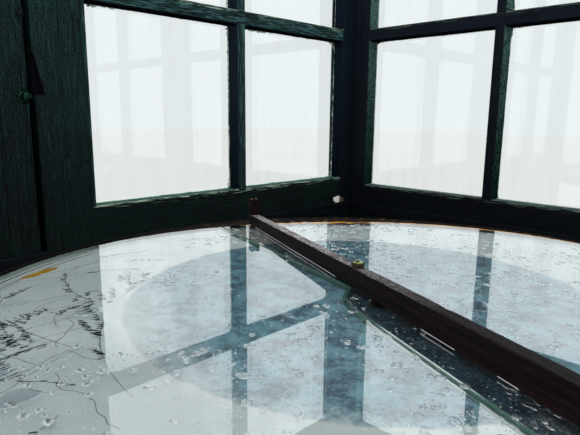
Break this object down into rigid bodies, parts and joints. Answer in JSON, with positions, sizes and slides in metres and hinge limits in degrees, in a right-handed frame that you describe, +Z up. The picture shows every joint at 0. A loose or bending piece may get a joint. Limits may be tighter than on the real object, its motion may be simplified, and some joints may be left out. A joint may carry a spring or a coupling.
{
  "type": "fire lookout cab corner with map table",
  "caption": "Corner of a fire lookout cab: timber floor, adjoining glazed walls, and a round glass-covered map table with a turning sighting bar.",
  "frame": {"origin": "centre of the floor's underside, in the middle of the cab's plan", "axes": "+Z up; the west wall stands on the -X side and the north wall on the +Y side"},
  "size_m": [2.425, 2.425, 2.281],
  "materials": {
    "window_glass": "clear old window glass",
    "cover_glass": "thick clear glass with green edges",
    "joist_wood": "rough weathered timber",
    "deck_wood": "worn floor boards",
    "siding_paint": "lapped boards, weathered dark green paint",
    "trim_paint": "weathered dark green paint",
    "stud_wood": "bare sawn timber",
    "lining_paint": "dark green paint",
    "sash_paint": "cracked dark green paint over wood grain",
    "post_paint": "cracked dark green paint over wood grain",
    "stand_wood": "dark varnished timber",
    "top_wood": "weathered timber",
    "hoop_wood": "weathered bent wood with old varnish",
    "map_paper": "printed paper map on thin board",
    "bar_wood": "weathered grey brown wood, worn edges",
    "sight_wood": "dark red brown wood",
    "level_brass": "tarnished brass",
    "pin_brass": "dull brass"
  },
  "bodies": {
    "cab": {"outer_joists": "joist_wood", "cross_joists": "joist_wood", "floor_deck": "deck_wood", "corner_post": "post_paint", "north_mid_post": "post_paint", "north_end_post": "post_paint", "north_top_plate": "post_paint", "north_soles": "stud_wood", "north_studs": "stud_wood", "north_sills": "trim_paint", "north_lining": "lining_paint", "north_siding": "siding_paint", "north_stops": "trim_paint", "north_casing": "trim_paint", "north_sash_1": "sash_paint", "north_panes_1": "window_glass", "north_sash_2": "sash_paint", "north_panes_2": "window_glass", "west_mid_post": "post_paint", "west_end_post": "post_paint", "west_top_plate": "post_paint", "west_soles": "stud_wood", "west_studs": "stud_wood", "west_sills": "trim_paint", "west_lining": "lining_paint", "west_siding": "siding_paint", "west_stops": "trim_paint", "west_casing": "trim_paint", "west_sash_1": "sash_paint", "west_panes_1": "window_glass", "west_sash_2": "sash_paint", "west_panes_2": "window_glass", "table_feet": "stand_wood", "table_column": "stand_wood", "table_bearers": "stand_wood", "table_top": "top_wood", "map_sheet": "map_paper", "table_hoop": "hoop_wood", "cover_glass_left": "cover_glass", "cover_glass_right": "cover_glass", "pivot_pin": "pin_brass"},
    "sight": {"sighting_bar": "bar_wood", "front_sight": "sight_wood", "rear_sight": "sight_wood", "round_level": "level_brass"}
  },
  "joints": [
    {"name": "bar_turn", "type": "hinge", "parent": "cab", "child": "sight", "pos_m": [-0.1935, 0.0385, 1.1265], "axis": [0, 0, 1], "continuous": true}
  ]
}
